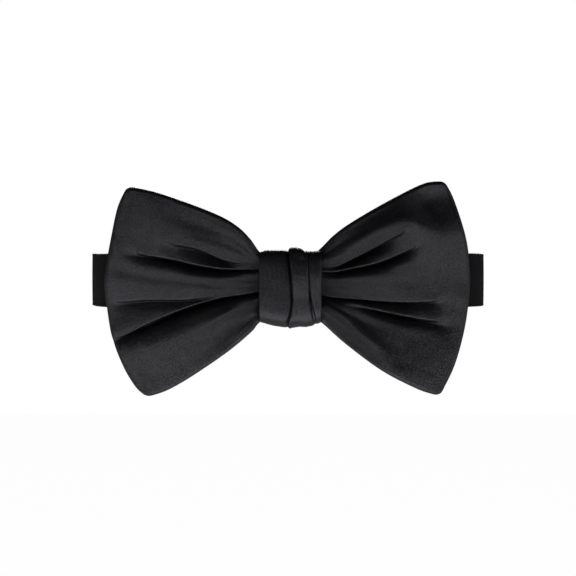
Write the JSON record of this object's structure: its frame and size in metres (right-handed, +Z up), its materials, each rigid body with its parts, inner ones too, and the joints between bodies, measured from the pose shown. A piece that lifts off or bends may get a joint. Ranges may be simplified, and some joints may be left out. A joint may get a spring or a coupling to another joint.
{
  "type": "bow tie",
  "caption": "Pre-tied butterfly bow tie of black satin with a pleated knot, on a round adjustable neckband with a slide adjuster and a hook-and-ring clasp.",
  "frame": {"origin": "middle of the knot's flat back face, where it lies against the collar at the top button", "axes": "+X to the right as seen from the front, +Y from the knot into the neck loop, +Z up, as worn"},
  "size_m": [0.141, 0.1528, 0.0698],
  "materials": {
    "bow_satin": "black satin with a soft broad sheen",
    "band_satin": "plain black satin ribbon",
    "interlining": "unbleached brushed interlining",
    "thread": "black sewing thread",
    "hardware": "nickel-plated wire, softly polished"
  },
  "bodies": {
    "knot": {"knot_wrap": "bow_satin", "knot_interlining": "interlining", "knot_seam_thread": "thread", "front_waist": "bow_satin", "back_waist": "bow_satin", "waist_thread": "thread", "neckband": "band_satin", "band_return": "band_satin", "hook_hem_stitch": "thread"},
    "wing_left": {"front_bow_left_face": "bow_satin", "front_bow_left_interlining": "interlining", "front_bow_left_rear": "bow_satin", "back_bow_left_face": "bow_satin", "back_bow_left_interlining": "interlining", "back_bow_left_rear": "bow_satin"},
    "wing_right": {"front_bow_right_face": "bow_satin", "front_bow_right_interlining": "interlining", "front_bow_right_rear": "bow_satin", "back_bow_right_face": "bow_satin", "back_bow_right_interlining": "interlining", "back_bow_right_rear": "bow_satin"},
    "slider": {"slider": "hardware", "slider_hem_stitch": "thread"},
    "ring": {"ring": "hardware"},
    "hook": {"hook": "hardware"}
  },
  "joints": [
    {"name": "wing_left_flex", "type": "hinge", "parent": "knot", "child": "wing_left", "pos_m": [-0.013, -0.008, 0], "axis": [0, 0, 1], "range_deg": [-8, 25], "stiffness_Nm_per_rad": 0.01},
    {"name": "wing_right_flex", "type": "hinge", "parent": "knot", "child": "wing_right", "pos_m": [0.013, -0.008, 0], "axis": [0, 0, -1], "range_deg": [-8, 25], "stiffness_Nm_per_rad": 0.01},
    {"name": "slider_adjust", "type": "hinge", "parent": "knot", "child": "slider", "pos_m": [0, 0.06695, 0.0015], "axis": [0, 0, 1], "range_deg": [-30, 18], "deforming": ["band_return"]},
    {"name": "ring_swing", "type": "hinge", "parent": "knot", "child": "ring", "pos_m": [-0.01972, 0.13578, 0.0015], "axis": [0, 0, 1], "range_deg": [-8, 8]},
    {"name": "hook_swing", "type": "hinge", "parent": "knot", "child": "hook", "pos_m": [-0.03363, 0.13016, 0.0015], "axis": [0, 0, 1], "range_deg": [-8, 8]}
  ],
  "couplings": [
    {"joint": "hook_swing", "follows": "ring_swing", "ratio": -1}
  ]
}
